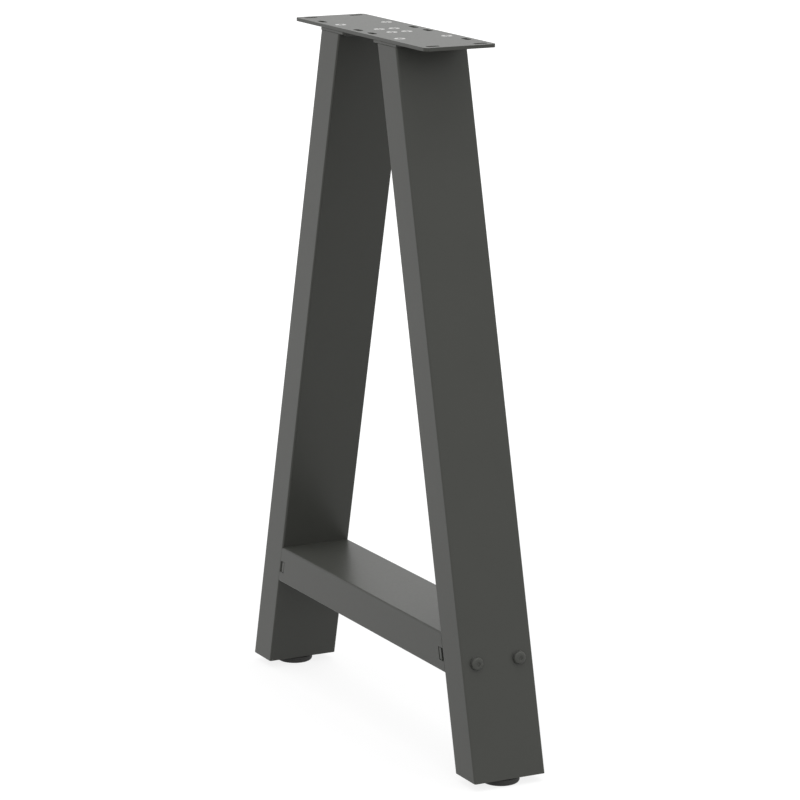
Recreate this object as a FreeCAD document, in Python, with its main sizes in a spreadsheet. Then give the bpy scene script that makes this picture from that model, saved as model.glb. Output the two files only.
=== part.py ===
"""A-frame trestle table leg: two slanted tubes, slotted top plate, bolted crossbar and two levelling feet.

Frame: millimetres, +Z up, origin on the floor midway between the feet, X along the spread of the A.
The left side is the right side turned half a turn about Z, so each paired piece is drawn once, for +X.
"""
import FreeCAD
import Part
import Sketcher
import math
import os
from types import SimpleNamespace

SIZES = {
    # overall
    "base_width": 515,  # across the tubes' outer faces at their underside
    "top_width": 168,  # across the tubes' outer faces at their upper end
    "leg_height": 720,  # tubes' underside to the top of the plate
    # rectangular tube, used for the legs and the crossbar
    "tube_wide": 80,
    "tube_narrow": 40,
    "tube_wall": 1.5,
    "tube_corner": 2,
    # top plate, as wide as the tubes, and its slots
    "plate_length": 292,
    "plate_thickness": 3.5,
    "plate_corner": 5,
    "slot_length": 15,
    "slot_width": 6.5,
    "end_slot_inset": 10,  # from the plate's short edge
    "outer_row_inset": 13.5,  # end slots and outer screws, from the plate's long edge
    "side_slot_inset": 8.5,  # from the plate's long edge
    "middle_slot_spacing": 31,
    "corner_slot_inset": 48,  # from the plate's short edge
    # leg-top flanges
    "flange_thickness": 3,
    "flange_edge_rounding": 0.8,
    "flange_overhang": 8,  # full-width part past the tube's inner face
    "tongue_root_width": 48,
    "tongue_root_span": 50,  # between the roots of the two tongues
    "tongue_tip_width": 34,
    "tongue_tip_span": 9,
    # countersunk plate screws
    "screw_diameter": 6,
    "screw_length": 10,
    "screw_head_diameter": 11.5,
    "screw_head_land": 0.3,  # straight rim of the head
    "recess_span": 6.8,  # cross recess, from wing tip to wing tip
    "recess_wing": 2,
    "recess_depth": 2,
    "outer_screw_span": 132,
    "inner_screw_span": 28,
    "inner_screw_spacing": 17,
    "screw_clearance": 0.05,
    # crossbar joint
    "crossbar_height": 118,  # tubes' underside to the crossbar's middle
    "lip_clearance": 0.1,  # crossbar's lips to the legs' round corners
    "bolt_drop": 2.3,  # bolts, notches and tabs, below the crossbar's middle
    "notch_depth": 8.2,
    "notch_height": 13,
    "nut_plate_thickness": 4,
    "nut_plate_recess": 3,
    "nut_plate_clearance": 0.1,
    "tab_height": 11.5,
    "tab_recess": 0.3,  # tab's end below the crossbar's side face
    "bolt_diameter": 8,
    "bolt_inset": 16,  # from the tubes' narrow faces
    "bolt_length": 56,
    "bolt_head_diameter": 13,
    "bolt_head_height": 2.5,
    "bolt_head_rounding": 1.5,
    "bolt_key": 4,  # socket across flats
    "bolt_key_depth": 1.6,
    "bolt_clearance": 0.4,
    "thread_clearance": 0.05,
    "washer_diameter": 13.2,
    "washer_thin_edge": 0.3,
    # levelling feet
    "bottom_plate_thickness": 3,
    "bottom_plate_clearance": 0.1,
    "stud_diameter": 8,
    "stud_chamfer": 1,
    "stud_floor": 1.5,  # pad left under the stud
    "foot_travel": 10,
    "nut_width": 13,
    "nut_height": 6.5,
    "pad_diameter": 39,
    "pad_height": 7,
    "pad_top_rounding": 1,
    "pad_sole_rounding": 3,
    "hub_diameter": 18,
    "hub_height": 0.9,
    "hub_gap": 0.1,  # hub to bottom plate with the foot screwed in
}

doc = FreeCAD.newDocument("TrestleLeg")
sheet = doc.addObject("Spreadsheet::Sheet", "Sizes")
for row, (alias, amount) in enumerate(SIZES.items(), start=1):
    sheet.set(f"A{row}", alias)
    sheet.set(f"B{row}", str(amount))
    sheet.setAlias(f"B{row}", alias)
doc.recompute()


class Size:
    """A number kept together with the formula that gives it from the sheet's cells."""

    def __init__(self, value, formula):
        self.value = value
        self.formula = formula

    def __add__(self, other):
        other = as_size(other)
        return Size(self.value + other.value, f"({self.formula} + {other.formula})")

    def __sub__(self, other):
        other = as_size(other)
        return Size(self.value - other.value, f"({self.formula} - {other.formula})")

    def __mul__(self, other):
        other = as_size(other)
        return Size(self.value * other.value, f"({self.formula} * {other.formula})")

    def __truediv__(self, other):
        other = as_size(other)
        return Size(self.value / other.value, f"({self.formula} / {other.formula})")

    def __radd__(self, other):
        return as_size(other) + self

    def __rsub__(self, other):
        return as_size(other) - self

    def __rmul__(self, other):
        return as_size(other) * self

    def __neg__(self):
        return 0 - self


def as_size(item):
    return item if isinstance(item, Size) else Size(item, str(item))


def root(item):
    return Size(math.sqrt(item.value), f"sqrt({item.formula})")


def bind(target, path, item):
    """Ties a property of a document object to a formula."""
    target.setExpression(path, as_size(item).formula)


cell = SimpleNamespace(**{alias: Size(amount, f"Sizes.{alias}") for alias, amount in SIZES.items()})

# Sizes that follow from the sheet. Level means measured along X, across the slanted tube.
tube_rise = cell.leg_height - cell.plate_thickness - cell.flange_thickness
slope = (cell.base_width - cell.top_width) / 2 / tube_rise
stretch = root(1 + slope * slope)
level_narrow = cell.tube_narrow * stretch
level_wall = cell.tube_wall * stretch
inner_wide = cell.tube_wide - 2 * cell.tube_wall
inner_narrow = cell.tube_narrow - 2 * cell.tube_wall
inner_corner = cell.tube_corner - cell.tube_wall
foot_drop = cell.pad_height + cell.hub_height + cell.hub_gap
foot_x = cell.base_width / 2 - level_narrow / 2
tube_top = foot_drop + tube_rise
plate_top = foot_drop + cell.leg_height
outer_row_y = cell.tube_wide / 2 - cell.outer_row_inset
bar_z = foot_drop + cell.crossbar_height
bar_end_x = cell.base_width / 2 - cell.crossbar_height * slope - level_narrow
diagonal = root(as_size(2))
bar_lip = (2 - diagonal) * cell.tube_corner - diagonal * cell.lip_clearance
bolt_height = cell.crossbar_height - cell.bolt_drop
bolt_z = foot_drop + bolt_height
bolt_y = cell.tube_wide / 2 - cell.bolt_inset
washer_middle = cell.washer_thin_edge + cell.washer_diameter / 2 * slope
bolt_seat_x = cell.base_width / 2 - bolt_height * slope + washer_middle


def new_body(label, x=0, y=0, z=0, turn=0):
    """Adds a body at a place given by sizes, turned about Z."""
    body = doc.addObject("PartDesign::Body", label)
    body.Label = label
    body.Placement = FreeCAD.Placement(FreeCAD.Vector(), FreeCAD.Rotation(FreeCAD.Vector(0, 0, 1), turn))
    bind(body, "Placement.Base.x", x)
    bind(body, "Placement.Base.y", y)
    bind(body, "Placement.Base.z", z)
    return body


def origin_feature(body, role):
    return next(feature for feature in body.Origin.OriginFeatures if feature.Role == role)


def sketch_on(body, plane, offset=0):
    """Adds a sketch on one of the body's own origin planes, moved along the plane's normal."""
    sketch = body.newObject("Sketcher::SketchObject", f"{body.Name}_sketch")
    sketch.AttachmentSupport = [(origin_feature(body, plane), "")]
    sketch.MapMode = "FlatFace"
    bind(sketch, "AttachmentOffset.Base.z", offset)
    sketch.Visibility = False
    return sketch


def point(x, y):
    return FreeCAD.Vector(as_size(x).value, as_size(y).value, 0)


def constrain(sketch, kind, *where, size):
    size = as_size(size)
    index = sketch.addConstraint(Sketcher.Constraint(kind, *where, size.value))
    bind(sketch, f"Constraints[{index}]", size)


def pin(sketch, geometry, position, x, y):
    """Fixes one point of the sketch by its two coordinates."""
    constrain(sketch, "DistanceX", geometry, position, size=x)
    constrain(sketch, "DistanceY", geometry, position, size=y)


def draw_polygon(sketch, corners):
    """Draws a closed outline of straight lines."""
    first = sketch.GeometryCount
    ends = corners[1:] + corners[:1]
    for start, end in zip(corners, ends):
        sketch.addGeometry(Part.LineSegment(point(*start), point(*end)))
    for step, corner in enumerate(corners):
        after = first + (step + 1) % len(corners)
        sketch.addConstraint(Sketcher.Constraint("Coincident", first + step, 2, after, 1))
        pin(sketch, first + step, 1, *corner)


def draw_circle(sketch, x, y, radius):
    up = FreeCAD.Vector(0, 0, 1)
    circle = sketch.addGeometry(Part.Circle(point(x, y), up, radius.value))
    pin(sketch, circle, 3, x, y)
    constrain(sketch, "Radius", circle, size=radius)


def draw_rounded(sketch, centres, radius, starts, sweep):
    """Draws a closed outline of equal arcs, taken anticlockwise, joined by tangent lines."""
    up = FreeCAD.Vector(0, 0, 1)
    count = len(centres)
    first = sketch.GeometryCount
    for centre, start in zip(centres, starts):
        circle = Part.Circle(point(*centre), up, radius.value)
        sketch.addGeometry(Part.ArcOfCircle(circle, start, start + sweep))
    for step in range(count):
        arc = sketch.Geometry[first + step]
        after = sketch.Geometry[first + (step + 1) % count]
        sketch.addGeometry(Part.LineSegment(arc.EndPoint, after.StartPoint))
    for step, centre in enumerate(centres):
        line = first + count + step
        after = first + (step + 1) % count
        sketch.addConstraint(Sketcher.Constraint("Tangent", first + step, 2, line, 1))
        sketch.addConstraint(Sketcher.Constraint("Tangent", line, 2, after, 1))
        pin(sketch, first + step, 3, *centre)
        constrain(sketch, "Radius", first + step, size=radius)


def draw_rounded_box(sketch, x, y, length, width, radius):
    """Draws a rounded rectangle about (x, y)."""
    quarter = math.pi / 2
    reach_x = length / 2 - radius
    reach_y = width / 2 - radius
    corners = ((1, -1), (1, 1), (-1, 1), (-1, -1))
    centres = [(x + a * reach_x, y + b * reach_y) for a, b in corners]
    draw_rounded(sketch, centres, radius, [quarter * step for step in (-1, 0, 1, 2)], quarter)


def draw_slot(sketch, x, y, along_x):
    """Draws one round-ended slot of the plate about (x, y)."""
    reach = (cell.slot_length - cell.slot_width) / 2
    if along_x:
        centres = [(x + reach, y), (x - reach, y)]
        start = -math.pi / 2
    else:
        centres = [(x, y + reach), (x, y - reach)]
        start = 0
    draw_rounded(sketch, centres, cell.slot_width / 2, [start, start + math.pi], math.pi)


def draw_hexagon(sketch, across):
    """Draws a hexagon about the sketch's origin, given its width across flats."""
    half = across / 2
    corner = across / math.sqrt(3)
    upper = [(corner, 0), (corner / 2, half), (-corner / 2, half)]
    draw_polygon(sketch, upper + [(-x, -y) for x, y in upper])


def draw_cross(sketch, span, wing):
    """Draws a cross about the sketch's origin, given its span and the width of its wings."""
    tip = span / 2
    side = wing / 2
    right = [(side, -side), (tip, -side), (tip, side)]
    top = [(-y, x) for x, y in right]
    draw_polygon(sketch, right + top + [(-x, -y) for x, y in right + top])


def slant(feature, sign=1):
    """Makes a pad or pocket follow the slope of the leg tube on one side."""
    lean = -sign * slope
    feature.UseCustomVector = True
    feature.AlongSketchNormal = True
    feature.Direction = FreeCAD.Vector(lean.value, 0, 1)
    bind(feature, "Direction.x", lean)


def pad(body, sketch, length, symmetric=False, slanted=False):
    """Extrudes a sketch, along the tubes' slope when slanted."""
    feature = body.newObject("PartDesign::Pad", f"{body.Name}_pad")
    feature.Profile = sketch
    feature.SideType = "Symmetric" if symmetric else "One side"
    bind(feature, "Length", length)
    if slanted:
        slant(feature)
    return feature


def cut_through(body, sketch):
    """Cuts a sketch right through the body, both ways."""
    feature = body.newObject("PartDesign::Pocket", f"{body.Name}_cut")
    feature.Profile = sketch
    feature.SideType = "Symmetric"
    feature.Type = "ThroughAll"


def cut_recess(body, sketch, depth):
    """Cuts a sketch against its normal, to a depth."""
    feature = body.newObject("PartDesign::Pocket", f"{body.Name}_recess")
    feature.Profile = sketch
    bind(feature, "Length", depth)


def revolve(body, sketch, axis):
    """Turns a sketch once round one of the body's own axes."""
    feature = body.newObject("PartDesign::Revolution", f"{body.Name}_turned")
    feature.Profile = sketch
    feature.ReferenceAxis = (origin_feature(body, axis), [""])
    feature.Angle = 360
    return feature


def same(first, second):
    """Tells whether two lengths are equal, apart from the modeller's rounding."""
    return math.isclose(first, second, abs_tol=1e-6)


def round_edges(body, feature, radius, wanted):
    """Rounds those edges of a feature whose first and last points pass a test."""
    doc.recompute()
    names = []
    for index, edge in enumerate(feature.Shape.Edges, start=1):
        if wanted(edge.firstVertex().Point, edge.lastVertex().Point):
            names.append(f"Edge{index}")
    fillet = body.newObject("PartDesign::Fillet", f"{body.Name}_fillet")
    fillet.Base = (feature, names)
    bind(fillet, "Radius", radius)
    return fillet


def screw_places():
    """Lists name, x and y of the plate screws of the right side."""
    places = []
    for name, sign in (("near", -1), ("far", 1)):
        places.append((f"outer_{name}", cell.outer_screw_span / 2, sign * outer_row_y))
        places.append((f"inner_{name}", cell.inner_screw_span / 2, sign * cell.inner_screw_spacing / 2))
    return places


def make_top_plate():
    body = new_body("top_plate", z=plate_top - cell.plate_thickness)
    outline = sketch_on(body, "XY_Plane")
    draw_rounded_box(outline, 0, 0, cell.plate_length, cell.tube_wide, cell.plate_corner)
    pad(body, outline, cell.plate_thickness)

    # slots for the table top's screws: two across each end, two along each side, and one by two corners
    slots = sketch_on(body, "XY_Plane")
    end_x = cell.plate_length / 2 - cell.end_slot_inset
    corner_x = cell.plate_length / 2 - cell.corner_slot_inset
    side_y = cell.tube_wide / 2 - cell.side_slot_inset
    for a in (1, -1):
        draw_slot(slots, a * corner_x, a * side_y, along_x=True)
        for b in (1, -1):
            draw_slot(slots, a * end_x, b * outer_row_y, along_x=False)
            draw_slot(slots, a * cell.middle_slot_spacing / 2, b * side_y, along_x=True)
    cut_through(body, slots)

    # countersunk holes over the two flanges
    centres = sketch_on(body, "XY_Plane", cell.plate_thickness)
    for sign in (1, -1):
        for _, x, y in screw_places():
            draw_circle(centres, sign * x, y, cell.screw_diameter / 2)
    doc.recompute()
    hole = body.newObject("PartDesign::Hole", "top_plate_holes")
    hole.Profile = centres
    hole.DepthType = "ThroughAll"
    hole.ThreadType = "None"
    hole.HoleCutType = "Countersink"
    hole.HoleCutCustomValues = True
    hole.HoleCutCountersinkAngle = 90
    bind(hole, "Diameter", cell.screw_diameter + 4 * cell.screw_clearance)
    rim_allowance = cell.screw_head_land + cell.screw_clearance
    bind(hole, "HoleCutDiameter", cell.screw_head_diameter + 2 * rim_allowance)
    return body


def make_leg_tube(side, turn):
    body = new_body(f"{side}_leg_tube", z=foot_drop, turn=turn)
    section = sketch_on(body, "XY_Plane")
    draw_rounded_box(section, foot_x, 0, level_narrow, cell.tube_wide, cell.tube_corner)
    draw_rounded_box(section, foot_x, 0, level_narrow - 2 * level_wall, inner_wide, inner_corner)
    pad(body, section, tube_rise, slanted=True)
    holes = sketch_on(body, "YZ_Plane")
    for sign in (1, -1):
        radius = cell.bolt_diameter / 2 + cell.bolt_clearance
        draw_circle(holes, sign * bolt_y, bolt_height, radius)
    cut_through(body, holes)
    return body


def make_leg_flange(side, turn):
    body = new_body(f"{side}_leg_flange", z=tube_top, turn=turn)
    outer = cell.top_width / 2
    step = outer - level_narrow - cell.flange_overhang
    half = cell.tube_wide / 2
    tongue = [(cell.tongue_root_span / 2, cell.tongue_root_width / 2),
              (cell.tongue_tip_span / 2, cell.tongue_tip_width / 2)]
    far_side = [(outer, half), (step, half)] + tongue
    near_side = [(x, -y) for x, y in reversed(far_side)]
    outline = sketch_on(body, "XY_Plane")
    draw_polygon(outline, far_side + near_side)
    plate = pad(body, outline, cell.flange_thickness)
    round_edges(body, plate, cell.flange_edge_rounding, lambda a, b: same(a.z, b.z))
    holes = sketch_on(body, "XY_Plane")
    for _, x, y in screw_places():
        draw_circle(holes, x, y, cell.screw_diameter / 2 + cell.thread_clearance)
    cut_through(body, holes)
    return body


def make_plate_screw(side, sign, turn, name, x, y):
    body = new_body(f"{side}_{name}_plate_screw", sign * x, sign * y, plate_top, turn)
    shank = cell.screw_diameter / 2
    head = cell.screw_head_diameter / 2
    cone_end = shank - head - cell.screw_head_land
    profile = sketch_on(body, "XZ_Plane")
    draw_polygon(profile, [
        (0, 0), (head, 0), (head, -cell.screw_head_land), (shank, cone_end),
        (shank, -cell.screw_length), (0, -cell.screw_length)])
    revolve(body, profile, "Z_Axis")
    recess = sketch_on(body, "XY_Plane")
    draw_cross(recess, cell.recess_span, cell.recess_wing)
    cut_recess(body, recess, cell.recess_depth)
    return body


def cut_mitre(body, sign, beyond):
    """Cuts one end to the leg's slope, with a lip at each side wall that reaches over the leg's corner."""
    half = cell.tube_wide / 2
    outside = half + bar_lip
    far_side = [(bar_end_x, half - bar_lip), (bar_end_x + 2 * bar_lip, outside), (beyond, outside)]
    near_side = [(x, -y) for x, y in reversed(far_side)]
    plan = sketch_on(body, "XY_Plane")
    draw_polygon(plan, [(sign * x, y) for x, y in far_side + near_side])
    mitre = body.newObject("PartDesign::Pocket", "crossbar_mitre")
    mitre.Profile = plan
    mitre.SideType = "Symmetric"
    bind(mitre, "Length", 4 * cell.tube_narrow)
    slant(mitre, sign)


def make_crossbar():
    body = new_body("crossbar", z=bar_z)
    section = sketch_on(body, "YZ_Plane")
    draw_rounded_box(section, 0, 0, cell.tube_wide, cell.tube_narrow, cell.tube_corner)
    draw_rounded_box(section, 0, 0, inner_wide, inner_narrow, inner_corner)
    longest = bar_end_x + cell.tube_narrow * slope + 2 * bar_lip
    pad(body, section, 2 * longest, symmetric=True)

    # both ends cut to the legs' slope, and a notch for the nut plate's tab in each end of each side wall
    beyond = longest + cell.tube_narrow
    for sign in (1, -1):
        cut_mitre(body, sign, beyond)
    notches = sketch_on(body, "XZ_Plane")
    notch_x = bar_end_x - cell.notch_depth * stretch
    low = -cell.bolt_drop - cell.notch_height / 2
    high = low + cell.notch_height
    for sign in (1, -1):
        draw_polygon(notches, [
            (sign * (notch_x - high * slope), high), (sign * beyond, high),
            (sign * beyond, low), (sign * (notch_x - low * slope), low)])
    cut_through(body, notches)
    return body


def make_nut_plate(side, sign, turn):
    body = new_body(f"{side}_nut_plate", x=sign * bar_end_x, z=bar_z, turn=turn)
    front = -cell.nut_plate_recess * stretch
    back = front - cell.nut_plate_thickness * stretch

    def pad_leaning(middle, height, width):
        low = middle - height / 2
        high = middle + height / 2
        leaning = sketch_on(body, "XZ_Plane")
        draw_polygon(leaning, [
            (front - high * slope, high), (back - high * slope, high),
            (back - low * slope, low), (front - low * slope, low)])
        return pad(body, leaning, width, symmetric=True)

    gap = 2 * cell.nut_plate_clearance
    plate = pad_leaning(0, inner_narrow - gap, inner_wide - gap)
    round_edges(body, plate, inner_corner, lambda a, b: same(a.y, b.y) and same(a.z, b.z))
    pad_leaning(-cell.bolt_drop, cell.tab_height, cell.tube_wide - 2 * cell.tab_recess)
    holes = sketch_on(body, "YZ_Plane")
    for y in (bolt_y, -bolt_y):
        draw_circle(holes, y, -cell.bolt_drop, cell.bolt_diameter / 2 + cell.thread_clearance)
    cut_through(body, holes)
    return body


def make_crossbar_bolt(side, sign, turn, name, y):
    body = new_body(f"{side}_{name}_crossbar_bolt", sign * bolt_seat_x, sign * y, bolt_z, turn)
    head = cell.bolt_head_diameter / 2
    shank = cell.bolt_diameter / 2
    profile = sketch_on(body, "XZ_Plane")
    draw_polygon(profile, [
        (cell.bolt_head_height, 0), (cell.bolt_head_height, head), (0, head),
        (0, shank), (-cell.bolt_length, shank), (-cell.bolt_length, 0)])
    turned = revolve(body, profile, "X_Axis")
    top = cell.bolt_head_height.value
    round_edges(body, turned, cell.bolt_head_rounding, lambda a, b: a == b and same(a.x, top))
    socket = sketch_on(body, "YZ_Plane", cell.bolt_head_height)
    draw_hexagon(socket, cell.bolt_key)
    cut_recess(body, socket, cell.bolt_key_depth)
    return body


def make_taper_washer(side, sign, turn, name, y):
    body = new_body(f"{side}_{name}_taper_washer", sign * bolt_seat_x, sign * y, bolt_z, turn)
    ring = sketch_on(body, "YZ_Plane")
    draw_circle(ring, 0, 0, cell.washer_diameter / 2)
    draw_circle(ring, 0, 0, cell.bolt_diameter / 2 + cell.bolt_clearance)
    disc = pad(body, ring, 2 * washer_middle)
    disc.Reversed = True

    # the back follows the leg's slope
    reach = cell.washer_diameter
    behind = -4 * washer_middle - reach * slope
    wedge = sketch_on(body, "XZ_Plane")
    draw_polygon(wedge, [
        (-washer_middle - reach * slope, reach), (behind, reach),
        (behind, -reach), (-washer_middle + reach * slope, -reach)])
    cut_through(body, wedge)
    return body


def make_bottom_plate(side, turn):
    body = new_body(f"{side}_bottom_plate", z=foot_drop, turn=turn)
    gap = 2 * cell.bottom_plate_clearance
    outline = sketch_on(body, "XY_Plane")
    draw_rounded_box(outline, foot_x, 0, level_narrow - 2 * level_wall - gap, inner_wide - gap, inner_corner)
    pad(body, outline, cell.bottom_plate_thickness, slanted=True)
    hole = sketch_on(body, "XY_Plane")
    draw_circle(hole, foot_x, 0, cell.stud_diameter / 2 + cell.bolt_clearance)
    cut_through(body, hole)
    return body


def make_weld_nut(side, sign, turn):
    body = new_body(f"{side}_weld_nut", sign * foot_x, z=foot_drop + cell.bottom_plate_thickness, turn=turn)
    outline = sketch_on(body, "XY_Plane")
    draw_hexagon(outline, cell.nut_width)
    draw_circle(outline, 0, 0, cell.stud_diameter / 2 + cell.thread_clearance)
    pad(body, outline, cell.nut_height)
    return body


def make_foot_stud(side, sign, turn):
    body = new_body(f"{side}_foot_stud", sign * foot_x, z=cell.stud_floor, turn=turn)
    radius = cell.stud_diameter / 2
    nut_top = foot_drop + cell.bottom_plate_thickness + cell.nut_height
    top = nut_top + cell.foot_travel - cell.stud_floor
    profile = sketch_on(body, "XZ_Plane")
    draw_polygon(profile, [
        (0, 0), (radius, 0), (radius, top - cell.stud_chamfer), (radius - cell.stud_chamfer, top), (0, top)])
    revolve(body, profile, "Z_Axis")
    return body


def make_foot_pad(side, sign, turn):
    body = new_body(f"{side}_foot_pad", sign * foot_x, turn=turn)
    rim = cell.pad_diameter / 2
    hub = cell.hub_diameter / 2
    well = cell.stud_diameter / 2 + cell.thread_clearance
    top = cell.pad_height + cell.hub_height
    profile = sketch_on(body, "XZ_Plane")
    draw_polygon(profile, [
        (0, 0), (rim, 0), (rim, cell.pad_height), (hub, cell.pad_height), (hub, top),
        (well, top), (well, cell.stud_floor), (0, cell.stud_floor)])
    turned = revolve(body, profile, "Z_Axis")
    for radius, z in ((cell.pad_top_rounding, cell.pad_height.value), (cell.pad_sole_rounding, 0)):
        turned = round_edges(
            body, turned, radius, lambda a, b: a == b and same(a.x, rim.value) and same(a.z, z))
    return body


bodies = [make_top_plate(), make_crossbar()]
for side, sign, turn in (("right", 1, 0), ("left", -1, 180)):
    bodies.append(make_leg_tube(side, turn))
    bodies.append(make_leg_flange(side, turn))
    for name, x, y in screw_places():
        bodies.append(make_plate_screw(side, sign, turn, name, x, y))
    bodies.append(make_nut_plate(side, sign, turn))
    for name, y in (("near", -bolt_y), ("far", bolt_y)):
        bodies.append(make_crossbar_bolt(side, sign, turn, name, y))
        bodies.append(make_taper_washer(side, sign, turn, name, y))
    bodies.append(make_bottom_plate(side, turn))
    bodies.append(make_weld_nut(side, sign, turn))
    bodies.append(make_foot_stud(side, sign, turn))
    bodies.append(make_foot_pad(side, sign, turn))

doc.recompute()
for item in doc.Objects:
    if "Invalid" in item.State or "Error" in item.State:
        raise RuntimeError(f"{item.Label} did not build: {item.State}")
for body in bodies:
    if body.Shape.isNull() or not body.Shape.isValid():
        raise RuntimeError(f"{body.Label} has no valid shape")

os.makedirs("parts", exist_ok=True)
for body in bodies:
    body.Shape.exportStep(f"parts/{body.Label}.step")
print(len(bodies), "parts written")
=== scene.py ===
# %% [markdown]
# # An A-frame table leg in powder-coated steel
#
# This lesson dresses a CAD model of a trestle table leg. The solids come from the CAD file and
# already have their true place and size. So each step either gives a solid its real finish, or
# models a small piece that CAD leaves plain, such as a screw thread. Everything is in metres, with
# +Z up and the origin on the floor midway between the feet.

# %% Load the CAD model
import bpy
import bmesh
import math
from mathutils import Matrix, Vector


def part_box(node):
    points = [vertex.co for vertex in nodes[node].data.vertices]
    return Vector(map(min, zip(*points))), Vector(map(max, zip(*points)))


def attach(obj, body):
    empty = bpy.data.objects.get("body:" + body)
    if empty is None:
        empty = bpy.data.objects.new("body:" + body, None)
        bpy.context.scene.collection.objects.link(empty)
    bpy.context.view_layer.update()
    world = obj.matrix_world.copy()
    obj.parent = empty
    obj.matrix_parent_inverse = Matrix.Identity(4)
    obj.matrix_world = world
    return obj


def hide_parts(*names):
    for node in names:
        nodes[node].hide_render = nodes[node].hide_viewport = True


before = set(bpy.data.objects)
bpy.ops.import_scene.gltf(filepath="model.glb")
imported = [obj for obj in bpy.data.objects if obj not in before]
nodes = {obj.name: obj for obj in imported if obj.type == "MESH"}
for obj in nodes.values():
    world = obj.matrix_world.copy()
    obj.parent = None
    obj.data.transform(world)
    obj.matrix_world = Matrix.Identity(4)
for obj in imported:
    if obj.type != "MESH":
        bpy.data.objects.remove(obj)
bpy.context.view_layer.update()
MM = 0.001
SIDES = ("right", "left")
ENDS = ("near", "far")

# %% [markdown]
# ## Helpers for finishes
#
# A finish is a shader fed by a few nodes. Its colours are picked as sRGB hex values, the way a
# paint chart gives them, while shaders work in linear light, so one function converts them. Another
# adds a node with its settings and links, so that each node of a finish is one statement. Patterns
# are laid out in Object coordinates, which are metres here, and a pattern's scale follows from its
# real size in millimetres.

# %% Colour and node helpers


def colour(hex_text):
    """sRGB hex to linear red, green, blue and alpha."""
    parts = [int(hex_text[i:i + 2], 16) / 255 for i in (1, 3, 5)]
    return [p / 12.92 if p <= 0.04045 else ((p + 0.055) / 1.055) ** 2.4 for p in parts] + [1.0]


def add_node(tree, kind, settings=None, **inputs):
    """Adds a node. Inputs go by name, or by number as _0. Sockets are linked, and values set."""
    node = tree.nodes.new(kind)
    for key, setting in (settings or {}).items():
        setattr(node, key, setting)
    for key, given in inputs.items():
        socket = node.inputs[int(key[1:])] if key[0] == "_" else node.inputs[key.replace("_", " ")]
        if isinstance(given, bpy.types.NodeSocket):
            tree.links.new(given, socket)
        else:
            socket.default_value = given
    return node


def new_material(name):
    """An empty node material, its shader, and the coordinates that patterns are laid out in."""
    material = bpy.data.materials.new(name)
    material.use_nodes = True
    tree = material.node_tree
    shader = tree.nodes["Principled BSDF"]
    where = tree.nodes.new("ShaderNodeTexCoord").outputs["Object"]
    return material, tree, shader, where


def per_mm(size):
    """Scale that makes one step of a pattern this many millimetres, in a scene in metres."""
    return 1 / (size * MM)


def dress(material, names):
    """Gives CAD nodes a material in place of the one they were loaded with."""
    for name in names:
        nodes[name].data.materials.clear()
        nodes[name].data.materials.append(material)
    print(f"{material.name}: {len(names)} nodes")


# %% [markdown]
# ## Powder coat
#
# The tubes, plates and flanges are sprayed with dry anthracite powder that melts into a skin in an
# oven. One flat grey would look like a drawing, because the real skin is slightly uneven. So one
# noise pattern makes the fine waves of its orange peel, as bumps and as changes in gloss. A second,
# broad one lets the tone drift, because the skin is thicker in some places than in others.

# %% Satin powder coat
# To the eye: an even, dark satin with soft, blurred highlights.
COAT_DARK = "#444541"
COAT_LIGHT = "#484945"
COAT_IOR = 1.36  # resin has about 1.5, but this skin mirrors its surroundings less than that
COAT_ROUGHNESS = (0.33, 0.39)  # least and most
DRIFT_SIZE = 70  # mm, about a hand's width
PEEL_SIZE = 3  # mm; real waves are 1 to 2 mm, too fine to show in a render of the whole leg
PEEL_STRENGTH = 0.12
PEEL_HEIGHT = 0.2 * MM
powder_coat, tree, shader, where = new_material("anthracite_powder_coat")
drift = add_node(tree, "ShaderNodeTexNoise", Vector=where, Scale=per_mm(DRIFT_SIZE), Detail=3.0)
coat_tone = add_node(tree, "ShaderNodeMix", {"data_type": "RGBA"}, Factor=drift.outputs["Fac"],
                     _6=colour(COAT_DARK), _7=colour(COAT_LIGHT))
peel = add_node(tree, "ShaderNodeTexNoise", Vector=where, Scale=per_mm(PEEL_SIZE), Detail=2.0)
satin = add_node(tree, "ShaderNodeMapRange", Value=peel.outputs["Fac"],
                 To_Min=COAT_ROUGHNESS[0], To_Max=COAT_ROUGHNESS[1])
waves = add_node(tree, "ShaderNodeBump", Height=peel.outputs["Fac"], Strength=PEEL_STRENGTH,
                 Distance=PEEL_HEIGHT)
tree.links.new(coat_tone.outputs[2], shader.inputs["Base Color"])
tree.links.new(satin.outputs["Result"], shader.inputs["Roughness"])
tree.links.new(waves.outputs["Normal"], shader.inputs["Normal"])
shader.inputs["IOR"].default_value = COAT_IOR
LEG_PIECES = ("leg_tube", "leg_flange", "nut_plate", "bottom_plate")
coated = [f"{side}_{piece}" for side in SIDES for piece in LEG_PIECES]
dress(powder_coat, ["top_plate", "crossbar"] + coated)

# %% [markdown]
# ## Zinc plating
#
# The plate screws are steel, plated with a thin layer of zinc that keeps off rust. A mirror would
# be too clean for it, because the plating dries a little cloudy. So it is a plain metal whose gloss
# changes in small clouds.

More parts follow.
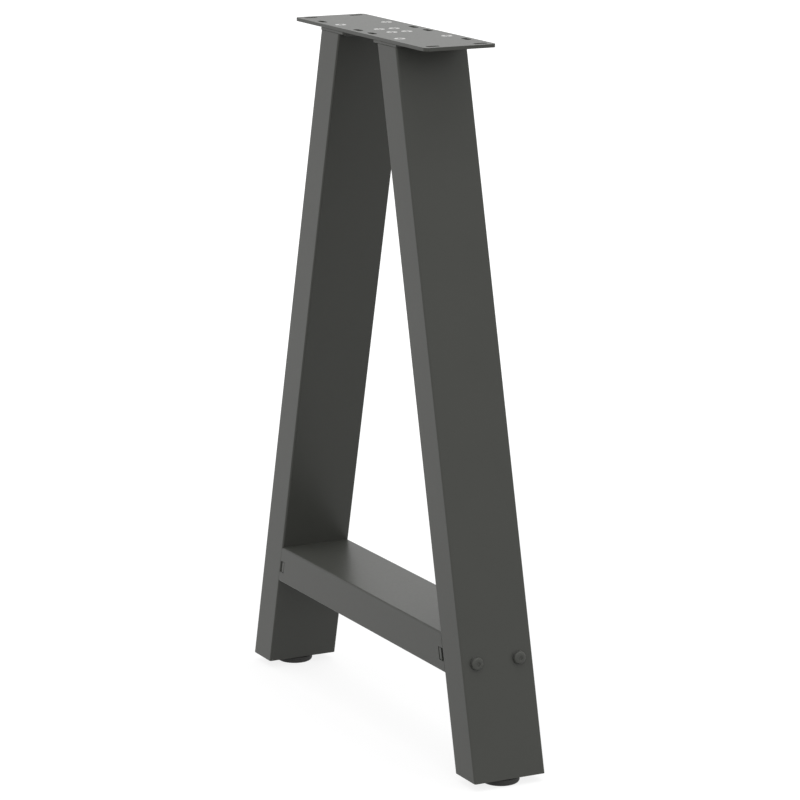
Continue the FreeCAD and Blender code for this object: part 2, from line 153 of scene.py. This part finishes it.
# %% Zinc plating
# To the eye: a pale metal with a soft, cloudy shine.
ZINC = "#cececc"
ZINC_ROUGHNESS = (0.28, 0.40)
CLOUD_SIZE = 1.5  # mm
zinc, tree, shader, where = new_material("bright_zinc_plating")
cloud = add_node(tree, "ShaderNodeTexNoise", Vector=where, Scale=per_mm(CLOUD_SIZE), Detail=3.0)
shine = add_node(tree, "ShaderNodeMapRange", Value=cloud.outputs["Fac"],
                 To_Min=ZINC_ROUGHNESS[0], To_Max=ZINC_ROUGHNESS[1])
tree.links.new(shine.outputs["Result"], shader.inputs["Roughness"])
shader.inputs["Base Color"].default_value = colour(ZINC)
shader.inputs["Metallic"].default_value = 1.0
print(zinc.name, "waits for the plate screws")

# %% [markdown]
# ## Bare steel and painted shade in the recesses
#
# Plating hardly reaches into the screws' recesses, where the steel stays dark. Depth alone would
# darken them only a little in a white room, so their walls and floor get a dark material of their
# own, partly the bare steel's own colour and partly painted shade.
# Its skin of dark oxide isn't a shiny metal any more, so it is left without a metallic value.

# %% Bare steel and painted shade in a recess
# To the eye: a dull, dark grey that marks the cross on each head, partly painted shade.
RECESS_STEEL_AND_SHADE = "#343432"
BARE_ROUGHNESS = (0.50, 0.65)
STAIN_SIZE = 0.7  # mm
recess_steel_and_shade, tree, shader, where = new_material("unplated_steel_and_painted_shade")
stain = add_node(tree, "ShaderNodeTexNoise", Vector=where, Scale=per_mm(STAIN_SIZE), Detail=2.0)
dull = add_node(tree, "ShaderNodeMapRange", Value=stain.outputs["Fac"],
                To_Min=BARE_ROUGHNESS[0], To_Max=BARE_ROUGHNESS[1])
tree.links.new(dull.outputs["Result"], shader.inputs["Roughness"])
# This dark grey is partly the bare steel and partly painted shade standing in for the recess's
# depth.
shader.inputs["Base Color"].default_value = colour(RECESS_STEEL_AND_SHADE)
print(recess_steel_and_shade.name, "waits for the screws' recesses")

# %% [markdown]
# ## Plain steel
#
# The nuts hidden in the legs and the foot studs are plain drawn steel, without plating. It is a
# metal too, greyer and duller than zinc, so it is made in the same way with other values.

# %% Plain steel
# To the eye: a mid-grey metal with a dull, patchy shine.
DRAWN_STEEL = "#a8a8a4"
STEEL_ROUGHNESS = (0.30, 0.45)
PATCH_SIZE = 2  # mm
steel, tree, shader, where = new_material("drawn_steel")
patch = add_node(tree, "ShaderNodeTexNoise", Vector=where, Scale=per_mm(PATCH_SIZE), Detail=4.0)
shine = add_node(tree, "ShaderNodeMapRange", Value=patch.outputs["Fac"],
                 To_Min=STEEL_ROUGHNESS[0], To_Max=STEEL_ROUGHNESS[1])
tree.links.new(shine.outputs["Result"], shader.inputs["Roughness"])
shader.inputs["Base Color"].default_value = colour(DRAWN_STEEL)
shader.inputs["Metallic"].default_value = 1.0
dress(steel, [f"{side}_weld_nut" for side in SIDES])

# %% [markdown]
# ## Moulded acetal
#
# The tapered washers are moulded in black acetal, a hard plastic that takes on the skin of its
# mould. The CAD solids have their shape already, so they only need the finish: a dark colour, and a
# gloss that changes a little from spot to spot.

# %% Moulded acetal
# To the eye: a black-grey, half-matt plastic.
ACETAL = "#464644"
ACETAL_ROUGHNESS = (0.40, 0.55)
SKIN_SIZE = 1  # mm
acetal, tree, shader, where = new_material("moulded_black_acetal")
skin = add_node(tree, "ShaderNodeTexNoise", Vector=where, Scale=per_mm(SKIN_SIZE), Detail=3.0)
dull = add_node(tree, "ShaderNodeMapRange", Value=skin.outputs["Fac"],
                To_Min=ACETAL_ROUGHNESS[0], To_Max=ACETAL_ROUGHNESS[1])
tree.links.new(dull.outputs["Result"], shader.inputs["Roughness"])
shader.inputs["Base Color"].default_value = colour(ACETAL)
dress(acetal, [f"{side}_{end}_taper_washer" for side in SIDES for end in ENDS])

# %% [markdown]
# ## Moulded nylon
#
# The foot pads are black nylon from a mould that was etched with sparks. That leaves a fine grit on
# them, which could be modelled only with a great many faces, so it is a bump pattern that also
# changes the gloss.

# %% Moulded nylon
# To the eye: a matt black with a fine grain.
NYLON = "#333332"
NYLON_IOR = 1.45
NYLON_ROUGHNESS = (0.60, 0.72)
GRIT_SIZE = 0.8  # mm; real grit is about a tenth of that, too fine to show
GRIT_STRENGTH = 0.15
GRIT_HEIGHT = 0.1 * MM
nylon, tree, shader, where = new_material("moulded_black_nylon")
spark = add_node(tree, "ShaderNodeTexNoise", Vector=where, Scale=per_mm(GRIT_SIZE), Detail=3.0)
matt = add_node(tree, "ShaderNodeMapRange", Value=spark.outputs["Fac"],
                To_Min=NYLON_ROUGHNESS[0], To_Max=NYLON_ROUGHNESS[1])
grit = add_node(tree, "ShaderNodeBump", Height=spark.outputs["Fac"], Strength=GRIT_STRENGTH,
                Distance=GRIT_HEIGHT)
tree.links.new(matt.outputs["Result"], shader.inputs["Roughness"])
tree.links.new(grit.outputs["Normal"], shader.inputs["Normal"])
shader.inputs["Base Color"].default_value = colour(NYLON)
shader.inputs["IOR"].default_value = NYLON_IOR
print(nylon.name, "waits for the foot pads")

# %% [markdown]
# ## Helpers for modelling
#
# Operators work on whatever is selected, and the loaded nodes are all selected at first. So every
# piece starts from an empty selection, and inside edit mode the points to work on are picked in
# code by where they are. What repeats on the leg is modelled once, as a pattern at the origin, and
# copied to its places.

# %% Selection helpers
TOUCH = 0.01 * MM  # how near to a place a point counts as being there
NEAR = 0.1 * MM  # the same, where nothing else is close


def start_piece():
    """Leaves edit mode and clears the selection."""
    if bpy.context.object and bpy.context.object.mode != "OBJECT":
        bpy.ops.object.mode_set(mode="OBJECT")
    bpy.ops.object.select_all(action="DESELECT")


def pick(wanted, mode="VERT"):
    """In edit mode, selects just the points, edges or faces whose middle passes a test."""
    bpy.ops.mesh.select_mode(type=mode)
    bpy.ops.mesh.select_all(action="DESELECT")
    mesh = bmesh.from_edit_mesh(bpy.context.object.data)
    if mode == "VERT":
        for point in mesh.verts:
            point.select = wanted(point.co)
    elif mode == "EDGE":
        for edge in mesh.edges:
            edge.select = wanted((edge.verts[0].co + edge.verts[1].co) / 2)
    else:
        for face in mesh.faces:
            face.select = wanted(face.calc_center_median())
    mesh.select_flush_mode()
    bmesh.update_edit_mesh(bpy.context.object.data)


def round_off(co):
    """Distance of a point from the Z axis."""
    return math.hypot(co.x, co.y)


# %% Finishing helpers
MERGE_GAP = 0.005 * MM  # points closer than this become one


def apply_bevel(piece, width, segments, angle):
    """Rounds every edge sharper than an angle in degrees."""
    bevel = piece.modifiers.new("bevel", "BEVEL")
    bevel.width = width
    bevel.segments = segments
    bevel.limit_method = "ANGLE"
    bevel.angle_limit = math.radians(angle)
    bpy.ops.object.modifier_apply(modifier=bevel.name)


def finish_mesh(piece, smooth_angle=35):
    """Closes up the mesh, turns its faces outwards and smooths what isn't a sharp edge."""
    bpy.ops.object.mode_set(mode="EDIT")
    bpy.ops.mesh.select_all(action="SELECT")
    bpy.ops.mesh.remove_doubles(threshold=MERGE_GAP)
    bpy.ops.mesh.normals_make_consistent(inside=False)
    bpy.ops.object.mode_set(mode="OBJECT")
    bpy.ops.object.shade_smooth_by_angle(angle=math.radians(smooth_angle))
    print(f"{piece.name}: {len(piece.data.polygons)} faces")


# %% Placing helpers
def place_copy(pattern, name, move, tip=0):
    """Copies a finished pattern, mesh and all, then tips the copy about Y and moves it."""
    piece = pattern.copy()
    piece.data = pattern.data.copy()
    piece.name = name
    bpy.context.scene.collection.objects.link(piece)
    piece.data.transform(Matrix.Translation(move) @ Matrix.Rotation(tip, 4, "Y"))
    return piece


def middle(node):
    """Middle of a CAD node's box."""
    low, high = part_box(node)
    return (low + high) / 2


# %% [markdown]
# ## Screw heads
#
# The countersunk plate screws have a cross recess and the round-headed crossbar bolts a hexagon
# socket. A head could be cut with a boolean, but joining the opening's outline to a circle point by
# point gives clean faces that a bevel can follow. So the outline is subdivided until it has as many
# points as the circle, the two are bridged, the outline is pushed in for the recess, and the circle
# is drawn out ring by ring into the head and the shank.

# %% Outlines of the openings
AROUND = 48  # points around each ring, a multiple of twelve
CROSS_REACH = 0.6  # spans from the middle: past the wings' corners, short of the head's rim


def draw_hexagon(across, height):
    """Adds a hexagon's outline, given its width across flats."""
    bpy.ops.mesh.primitive_circle_add(vertices=6, radius=across / math.sqrt(3),
                                      location=(0, 0, height))
    bpy.ops.mesh.subdivide(number_cuts=AROUND // 6 - 1)


def draw_cross(span, wing, height):
    """Adds a cross's outline: a square with a wing drawn out of each side, less its faces."""
    bpy.ops.mesh.primitive_plane_add(size=wing, location=(0, 0, height))
    for way in (Vector((1, 0, 0)), Vector((0, 1, 0)), Vector((-1, 0, 0)), Vector((0, -1, 0))):
        side = way * wing / 2 + Vector((0, 0, height))
        pick(lambda co: (co - side).length < NEAR, "EDGE")
        bpy.ops.mesh.extrude_region_move(TRANSFORM_OT_translate={"value": way * (span - wing) / 2})
    pick(lambda co: True, "FACE")
    bpy.ops.mesh.dissolve_faces()
    bpy.ops.mesh.delete(type="ONLY_FACE")
    pick(lambda co: round_off(co) < CROSS_REACH * span, "EDGE")
    bpy.ops.mesh.subdivide(number_cuts=AROUND // 12 - 1)


# %% Model a screw
def model_screw(name, draw_opening, depth, rings):
    """Models a screw along -Z from rings of radius and height, with an opening in the first."""
    start_piece()
    radius, height = rings[0]
    bpy.ops.mesh.primitive_circle_add(vertices=AROUND, radius=radius)
    piece = bpy.context.object
    piece.name = name
    bpy.ops.object.mode_set(mode="EDIT")
    bpy.ops.mesh.select_all(action="SELECT")
    bpy.ops.transform.translate(value=(0, 0, height))
    draw_opening(height)
    bpy.ops.mesh.select_all(action="SELECT")
    bpy.ops.mesh.select_mode(type="EDGE")
    bpy.ops.mesh.bridge_edge_loops()

    # the opening
    rim = radius - TOUCH
    pick(lambda co: round_off(co) < rim)
    bpy.ops.mesh.select_mode(type="EDGE")
    bpy.ops.mesh.extrude_region_move(TRANSFORM_OT_translate={"value": (0, 0, -depth)})
    bpy.ops.mesh.edge_face_add()

    # the head and the shank
    pick(lambda co: round_off(co) > rim)
    bpy.ops.mesh.select_mode(type="EDGE")
    for next_radius, next_height in rings[1:]:
        step = (0, 0, next_height - height)
        grow = next_radius / radius
        bpy.ops.mesh.extrude_region_move(TRANSFORM_OT_translate={"value": step})
        bpy.ops.transform.resize(value=(grow, grow, 1), center_override=(0, 0, 0))
        radius, height = next_radius, next_height
    bpy.ops.mesh.edge_face_add()
    bpy.ops.object.mode_set(mode="OBJECT")
    return piece


# %% [markdown]
# ## Countersunk plate screws
#
# Eight M6 screws hold the plate to the two flanges. Their heads lie flush with the plate's top and
# are the only bright metal on the leg. The CAD screws could be dressed as they are, but their edges
# are sharp and catch no light. So one screw is modelled at the origin with fine bevels, its recess
# is darkened with bare steel and painted shade, and copies take the places of the CAD screws.

# %% Plate screw pattern
HEAD_RADIUS = 5.75 * MM
HEAD_LAND = 0.3 * MM
SHANK_RADIUS = 3 * MM
SCREW_LENGTH = 10 * MM
SCREW_POINT = 0.6 * MM
SCREW_EDGE = 0.12 * MM
SHARP_EDGE = 40  # degrees, past which an edge of a screw or a bolt is bevelled
RECESS_SPAN = 6.8 * MM
RECESS_WING = 2 * MM
RECESS_DEPTH = 2 * MM
cone_end = HEAD_LAND + HEAD_RADIUS - SHANK_RADIUS
rings = [(HEAD_RADIUS, 0), (HEAD_RADIUS, -HEAD_LAND), (SHANK_RADIUS, -cone_end),
         (SHANK_RADIUS, SCREW_POINT - SCREW_LENGTH), (SHANK_RADIUS - SCREW_POINT, -SCREW_LENGTH)]
pattern = model_screw(
    "plate_screw_pattern", lambda height: draw_cross(RECESS_SPAN, RECESS_WING, height),
    RECESS_DEPTH, rings)
apply_bevel(pattern, width=SCREW_EDGE, segments=2, angle=SHARP_EDGE)
finish_mesh(pattern)

# %% Dark recess
RECESS_FLOOR = -1.05  # depths, just below the recess's floor
RECESS_BRIM = -0.1  # depths, just below its bevelled brim
RECESS_REACH = 0.55  # spans from the middle, just past the wings' tips
# The recess gets bare steel whose dark is partly painted shade.
pattern.data.materials.append(zinc)
pattern.data.materials.append(recess_steel_and_shade)
bpy.ops.object.mode_set(mode="EDIT")
pick(lambda co: (RECESS_FLOOR < co.z / RECESS_DEPTH < RECESS_BRIM
                 and round_off(co) < RECESS_REACH * RECESS_SPAN), "FACE")
pattern.active_material_index = 1
bpy.ops.object.material_slot_assign()
bpy.ops.object.mode_set(mode="OBJECT")
print(sum(face.material_index for face in pattern.data.polygons), "faces of the recess darkened")

# %% Plate screws
for side in SIDES:
    for row in ("outer_near", "outer_far", "inner_near", "inner_far"):
        node = f"{side}_{row}_plate_screw"
        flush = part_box(node)[1].z
        screw = place_copy(pattern, f"{side}_{row}_zinc_screw", move=(*middle(node).xy, flush))
        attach(screw, "frame")
        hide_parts(node)
bpy.data.objects.remove(pattern)
print("plate screws flush at", round(flush / MM, 1), "mm")

# %% [markdown]
# ## Crossbar bolts
#
# Four M8 bolts run level through the legs into the crossbar's nut plates, two a side. Their low
# heads have the leg's own powder coat, and a lighter copy of it stands in for the extra light they
# catch: painted light. A copy with two other tones keeps the coat's skin the same. The head's crown
# could be a wide bevel, but rings along a quarter of an ellipse give it a set width and height.

# %% Powder coat lit lighter for the bolts
# To the eye: the leg's own satin, one shade up, as painted light.
LIT_BOLT_DARK = "#4a4b47"
LIT_BOLT_LIGHT = "#4e4f4b"
# A lighter copy of the powder coat: painted light on the bolt heads, whose real coat is the leg's
# own.
coat_lit_for_bolts = powder_coat.copy()
coat_lit_for_bolts.name = "powder_coat_lit_for_bolt_heads"
lit_bolt_tone = coat_lit_for_bolts.node_tree.nodes[coat_tone.name]
lit_bolt_tone.inputs[6].default_value = colour(LIT_BOLT_DARK)
lit_bolt_tone.inputs[7].default_value = colour(LIT_BOLT_LIGHT)
print(coat_lit_for_bolts.name, "mixed")

# %% Crossbar bolt pattern
BOLT_HEAD_RADIUS = 6.5 * MM
BOLT_HEAD_HEIGHT = 2.5 * MM
CROWN_WIDTH = 2.6 * MM
CROWN_HEIGHT = 1.9 * MM
CROWN_STEPS = 8
BOLT_RADIUS = 4 * MM
BOLT_LENGTH = 56 * MM
BOLT_POINT = 1 * MM
BOLT_EDGE = 0.15 * MM
SOCKET_WIDTH = 4 * MM
SOCKET_DEPTH = 0.9 * MM
flat_radius = BOLT_HEAD_RADIUS - CROWN_WIDTH
rings = []
for step in range(CROWN_STEPS + 1):
    turn = math.pi / 2 * step / CROWN_STEPS
    rings.append((flat_radius + CROWN_WIDTH * math.sin(turn),
                  BOLT_HEAD_HEIGHT - CROWN_HEIGHT + CROWN_HEIGHT * math.cos(turn)))
rings += [(BOLT_HEAD_RADIUS, 0), (BOLT_RADIUS, 0), (BOLT_RADIUS, BOLT_POINT - BOLT_LENGTH),
          (BOLT_RADIUS - BOLT_POINT, -BOLT_LENGTH)]
pattern = model_screw(
    "crossbar_bolt_pattern", lambda height: draw_hexagon(SOCKET_WIDTH, height), SOCKET_DEPTH, rings)
apply_bevel(pattern, width=BOLT_EDGE, segments=2, angle=SHARP_EDGE)
finish_mesh(pattern)

# %% Crossbar bolts
for side, sign in zip(SIDES, (1, -1)):
    for end in ENDS:
        node = f"{side}_{end}_crossbar_bolt"
        low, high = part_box(node)
        seat = high.x - BOLT_HEAD_HEIGHT if sign > 0 else low.x + BOLT_HEAD_HEIGHT
        bolt = place_copy(pattern, f"{side}_{end}_round_head_bolt", move=(seat, *middle(node).yz),
                          tip=sign * math.pi / 2)
        # The bolt heads take the lighter copy of the coat, as painted light.
        bolt.data.materials.append(coat_lit_for_bolts)
        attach(bolt, "frame")
        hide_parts(node)
        print(f"{bolt.name}: head seated at x = {seat / MM:.1f} mm")
bpy.data.objects.remove(pattern)

# %% [markdown]
# ## Threaded foot studs
#
# Each levelling foot is an M8 stud moulded into a nylon pad. Its thread shows in the gap above the
# pad once the foot is screwed out. Rings would look like a thread at a glance, but a real one is
# one tooth swept up a helix, which the Screw modifier does in one go. The tooth is drawn from a
# single point, extruded flank by flank. The sweep leaves ragged ends, so it runs a little over a
# turn too far each way and is cut square with bisect, which also closes the cut.

# %% Sweep a thread
THREAD_PITCH = 1.25 * MM
THREAD_DEPTH = 0.65 * MM
# Steps of one tooth, out by depths and up by pitches.
FLANKS = ((1, 0.40), (0, 0.15), (-1, 0.40), (0, 0.05))
TURN_STEPS = 32
RUN_IN = 1.29  # turns swept past each end, an uneven number so that no point lies right on a cut
HAIR = 0.0001 * MM  # how close to a cut a point counts as on it


def model_thread(name, radius, low, high):
    """Models a threaded rod on the Z axis between two heights."""
    start_piece()
    bpy.ops.mesh.primitive_plane_add(size=MM)
    piece = bpy.context.object
    piece.name = name
    bpy.ops.object.mode_set(mode="EDIT")
    bpy.ops.mesh.select_mode(type="VERT")
    bpy.ops.mesh.select_all(action="SELECT")
    bpy.ops.mesh.merge(type="CENTER")
    bpy.ops.transform.translate(value=(radius - THREAD_DEPTH, 0, low - RUN_IN * THREAD_PITCH))
    for outward, upward in FLANKS:
        step = (outward * THREAD_DEPTH, 0, upward * THREAD_PITCH)
        bpy.ops.mesh.extrude_vertices_move(TRANSFORM_OT_translate={"value": step})
    bpy.ops.object.mode_set(mode="OBJECT")
    sweep = piece.modifiers.new("sweep", "SCREW")
    sweep.axis = "Z"
    sweep.screw_offset = THREAD_PITCH
    sweep.iterations = math.ceil((high - low) / THREAD_PITCH + 2 * RUN_IN)
    sweep.steps = TURN_STEPS
    sweep.render_steps = TURN_STEPS
    bpy.ops.object.modifier_apply(modifier=sweep.name)
    bpy.ops.object.mode_set(mode="EDIT")
    bpy.ops.mesh.select_all(action="SELECT")
    bpy.ops.mesh.remove_doubles(threshold=MERGE_GAP)
    bpy.ops.mesh.select_all(action="SELECT")
    bpy.ops.mesh.bisect(plane_co=(0, 0, low), plane_no=(0, 0, 1), use_fill=True, clear_inner=True,
                        threshold=HAIR)
    bpy.ops.mesh.select_all(action="SELECT")
    bpy.ops.mesh.bisect(plane_co=(0, 0, high), plane_no=(0, 0, 1), use_fill=True, clear_outer=True,
                        threshold=HAIR)
    bpy.ops.object.mode_set(mode="OBJECT")
    return piece


# %% Foot studs
STUD_RADIUS = 4 * MM
low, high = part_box("right_foot_stud")
pattern = model_thread("foot_stud_pattern", STUD_RADIUS, low.z, high.z)
finish_mesh(pattern, smooth_angle=30)
for side in SIDES:
    node = f"{side}_foot_stud"
    stud = place_copy(pattern, f"{side}_threaded_stud", move=(*middle(node).xy, 0))
    stud.data.materials.append(steel)
    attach(stud, f"{side}_foot")
    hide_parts(node)
bpy.data.objects.remove(pattern)
print("foot studs from", round(low.z / MM, 1), "to", round(high.z / MM, 1), "mm")

# %% [markdown]
# ## Foot pads
#
# The pads are moulded discs with a raised hub round the stud and a shallow hollow underneath that
# lets them sit flat. Their outline could be spun about the axis, but from a cylinder each feature
# is one step: its end faces are inset and pushed to make the hub and the hollow. The rim is rounded
# most at the sole, so that the leg can be pushed across a floor, and a fine bevel softens what is
# left.

# %% Foot pad pattern
PAD_AROUND = 96
PAD_RADIUS = 19.5 * MM
PAD_HEIGHT = 7 * MM
PAD_EDGE = 0.3 * MM
PAD_SHARP_EDGE = 50  # degrees, so that the rounded rims are left alone
TOP_ROUNDING = 1 * MM
SOLE_ROUNDING = 3 * MM
ROUNDING_STEPS = 8
HUB_RADIUS = 9 * MM
HUB_HEIGHT = 0.9 * MM
HOLLOW_RADIUS = 13 * MM
HOLLOW_DEPTH = 0.8 * MM
start_piece()
bpy.ops.mesh.primitive_cylinder_add(vertices=PAD_AROUND, radius=PAD_RADIUS, depth=PAD_HEIGHT,
                                    location=(0, 0, PAD_HEIGHT / 2))
pattern = bpy.context.object
pattern.name = "foot_pad_pattern"
bpy.ops.object.transform_apply(location=True, rotation=False, scale=False)
bpy.ops.object.mode_set(mode="EDIT")
pick(lambda co: co.z > PAD_HEIGHT - TOUCH, "FACE")
bpy.ops.mesh.inset(thickness=PAD_RADIUS - HUB_RADIUS, depth=0)
bpy.ops.mesh.extrude_region_move(TRANSFORM_OT_translate={"value": (0, 0, HUB_HEIGHT)})
pick(lambda co: co.z < TOUCH, "FACE")
bpy.ops.mesh.inset(thickness=PAD_RADIUS - HOLLOW_RADIUS, depth=0)
bpy.ops.mesh.extrude_region_move(TRANSFORM_OT_translate={"value": (0, 0, HOLLOW_DEPTH)})
for height, rounding in ((PAD_HEIGHT, TOP_ROUNDING), (0, SOLE_ROUNDING)):
    pick(lambda co: round_off(co) > PAD_RADIUS - NEAR and abs(co.z - height) < TOUCH, "EDGE")
    bpy.ops.mesh.bevel(offset=rounding, segments=ROUNDING_STEPS, affect="EDGES")
bpy.ops.object.mode_set(mode="OBJECT")
apply_bevel(pattern, width=PAD_EDGE, segments=3, angle=PAD_SHARP_EDGE)
finish_mesh(pattern)

# %% Foot pads
for side in SIDES:
    node = f"{side}_foot_pad"
    foot_pad = place_copy(pattern, f"{side}_moulded_pad", move=(*middle(node).xy, 0))
    foot_pad.data.materials.append(nylon)
    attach(foot_pad, f"{side}_foot")
    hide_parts(node)
    print(f"{foot_pad.name}: at x = {middle(node).x / MM:.1f} mm")
bpy.data.objects.remove(pattern)

# %% [markdown]
# ## Weld beads
#
# Each tube is welded to its flange. On the faces where tube and flange are flush the bead is ground
# off, but under the flange's overhang it stays: a row of small overlapping ripples in the corner,
# coated with the rest. Ripples in a bump pattern would vanish from the side, so they are modelled.
# A cylinder is cut into many rings, every second ring is shrunk for the ripples, and the last rings
# taper off.

# %% Weld bead pattern
BEAD_AROUND = 20
BEAD_RADIUS = 3 * MM
BEAD_LENGTH = 70 * MM
RIPPLE = 2.2 * MM
DIP = 0.9  # size of a ring between two ripples
TIP = 0.55  # size of the ring at each end
SWELL = 0.15  # growth from each ring to the next, until the bead is full
steps = 2 * round(BEAD_LENGTH / RIPPLE)
start_piece()
bpy.ops.mesh.primitive_cylinder_add(vertices=BEAD_AROUND, radius=BEAD_RADIUS, depth=BEAD_LENGTH,
                                    rotation=(math.pi / 2, 0, 0))
pattern = bpy.context.object
pattern.name = "weld_bead_pattern"
bpy.ops.object.transform_apply(location=False, rotation=True, scale=False)
bpy.ops.object.mode_set(mode="EDIT")
pick(lambda co: abs(co.y) < BEAD_LENGTH / 2 - NEAR, "EDGE")
bpy.ops.mesh.subdivide_edgering(number_cuts=steps - 1)
for ring in range(steps + 1):
    y = BEAD_LENGTH * (ring / steps - 0.5)
    from_end = min(ring, steps - ring)
    size = (1.0 if ring % 2 else DIP) * min(1.0, TIP + SWELL * from_end)
    pick(lambda co: abs(co.y - y) < NEAR)
    bpy.ops.transform.resize(value=(size, 1, size), center_override=(0, y, 0))
bpy.ops.object.mode_set(mode="OBJECT")
finish_mesh(pattern, smooth_angle=60)

# %% Weld beads
BEAD_OFFSET = 0.4 * MM  # from the tube's inner face, so that the bead bulges out of the corner
tube_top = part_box("right_leg_tube")[1].z
tube_points = [point.co for point in nodes["right_leg_tube"].data.vertices]
inner_edge = min(co.x for co in tube_points if co.z > tube_top - NEAR)
for side, sign in zip(SIDES, (1, -1)):
    bead = place_copy(pattern, f"{side}_flange_weld_bead",
                      move=(sign * (inner_edge - BEAD_OFFSET), 0, tube_top))
    bead.data.materials.append(powder_coat)
    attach(bead, "frame")
bpy.data.objects.remove(pattern)
print("weld beads along the tubes' inner edges, at x =", round(inner_edge / MM, 1), "mm")

# %% [markdown]
# ## Camera
#
# A long lens from well away, a little above the leg and round to its right, keeps the uprights
# almost parallel. A camera can be turned to face a point, but it then stays level. Building its
# three axes by hand also takes in the slight roll of the picture.

# %% Camera
AZIMUTH = math.radians(62.595)
ELEVATION = math.radians(12.675)
ROLL = math.radians(0.12)
DISTANCE = 3.713
AIM = Vector((0.0171, 0, 0.3468))
LENS = 161.65  # mm, as the sensor's width
SENSOR_WIDTH = 36
reach = math.cos(ELEVATION)
back = Vector((math.sin(AZIMUTH) * reach, -math.cos(AZIMUTH) * reach, math.sin(ELEVATION)))
level = Vector((0, 0, 1)).cross(back).normalized()
upright = back.cross(level)
across = level * math.cos(ROLL) + upright * math.sin(ROLL)
upward = upright * math.cos(ROLL) - level * math.sin(ROLL)
start_piece()
bpy.ops.object.camera_add()
camera = bpy.context.object
camera.data.sensor_width = SENSOR_WIDTH
camera.data.lens = LENS
axes = Matrix((across, upward, back)).transposed().to_4x4()
camera.matrix_world = Matrix.Translation(AIM + back * DISTANCE) @ axes
bpy.context.scene.camera = camera
print("camera at", [round(value, 3) for value in camera.location])

# %% [markdown]
# ## Floor
#
# The leg stands on a pale studio floor. A white floor would bounce much light up into the leg, so
# this one is grey to the light. Where the camera or a shiny surface sees it, it glows almost white,
# and further off wholly white, so the background is white and still takes the leg's soft shadow.

# %% Floor paint
WHITE = "#ffffff"
FLOOR_GREY = "#7e7e7e"
FLOOR_ROUGHNESS = 0.9
GLOW_SPREAD = (0.5, 2.0)  # metres from the middle, where the glow starts and ends its rise
GLOW = (0.83, 1.0)  # strength before and after that rise


def seen_directly(tree):
    """One where the camera or a reflection sees a surface, and nought for the light it gives."""
    rays = add_node(tree, "ShaderNodeLightPath").outputs
    shiny = add_node(tree, "ShaderNodeMath", {"operation": "MAXIMUM"}, _0=rays["Is Glossy Ray"],
                     _1=rays["Is Transmission Ray"])
    return add_node(tree, "ShaderNodeMath", {"operation": "MAXIMUM"}, _0=rays["Is Camera Ray"],
                    _1=shiny.outputs[0]).outputs[0]


floor_paint, tree, shader, where = new_material("white_studio_floor")
away = add_node(tree, "ShaderNodeVectorMath", {"operation": "LENGTH"}, _0=where)
glow = add_node(tree, "ShaderNodeMapRange", Value=away.outputs["Value"], From_Min=GLOW_SPREAD[0],
                From_Max=GLOW_SPREAD[1], To_Min=GLOW[0], To_Max=GLOW[1])
lift = add_node(tree, "ShaderNodeMath", {"operation": "MULTIPLY"}, _0=glow.outputs["Result"],
                _1=seen_directly(tree))
tree.links.new(lift.outputs[0], shader.inputs["Emission Strength"])
shader.inputs["Emission Color"].default_value = colour(WHITE)
shader.inputs["Base Color"].default_value = colour(FLOOR_GREY)
shader.inputs["Roughness"].default_value = FLOOR_ROUGHNESS
shader.inputs["Specular IOR Level"].default_value = 0.0
print(floor_paint.name, "mixed")

# %% Floor
FLOOR_SIZE = 40
start_piece()
bpy.ops.mesh.primitive_plane_add(size=FLOOR_SIZE, location=(0, 0, 0))
floor = bpy.context.object
floor.name = "studio_floor"
floor.data.materials.append(floor_paint)
print(f"{floor.name}: {FLOOR_SIZE} m wide")

# %% [markdown]
# ## Light
#
# Most of the light comes evenly from the walls of a white room, which the world's colour stands
# for. Alone, it would leave the leg flat, so one large soft lamp above makes the upper faces a
# little brighter than the sides.

# %% Light
LAMP_PLACE = Vector((0.3, 0.2, 3.2))
LAMP_AIM = Vector((0, 0, 0.3))
LAMP_SIZE = 2.0
LAMP_POWER = 22
world = bpy.data.worlds.new("white_room")
bpy.context.scene.world = world
world.use_nodes = True
world.node_tree.nodes["Background"].inputs["Color"].default_value = colour(WHITE)
world.node_tree.nodes["Background"].inputs["Strength"].default_value = 1.0
start_piece()
bpy.ops.object.light_add(type="AREA", location=LAMP_PLACE)
lamp = bpy.context.object
lamp.name = "top_lamp"
lamp.data.size = LAMP_SIZE
lamp.data.energy = LAMP_POWER
lamp.rotation_euler = (LAMP_AIM - LAMP_PLACE).to_track_quat("-Z", "Y").to_euler()
bpy.context.scene.view_settings.view_transform = "Standard"
print(f"{lamp.name}: {LAMP_POWER} W in a {world.name}")
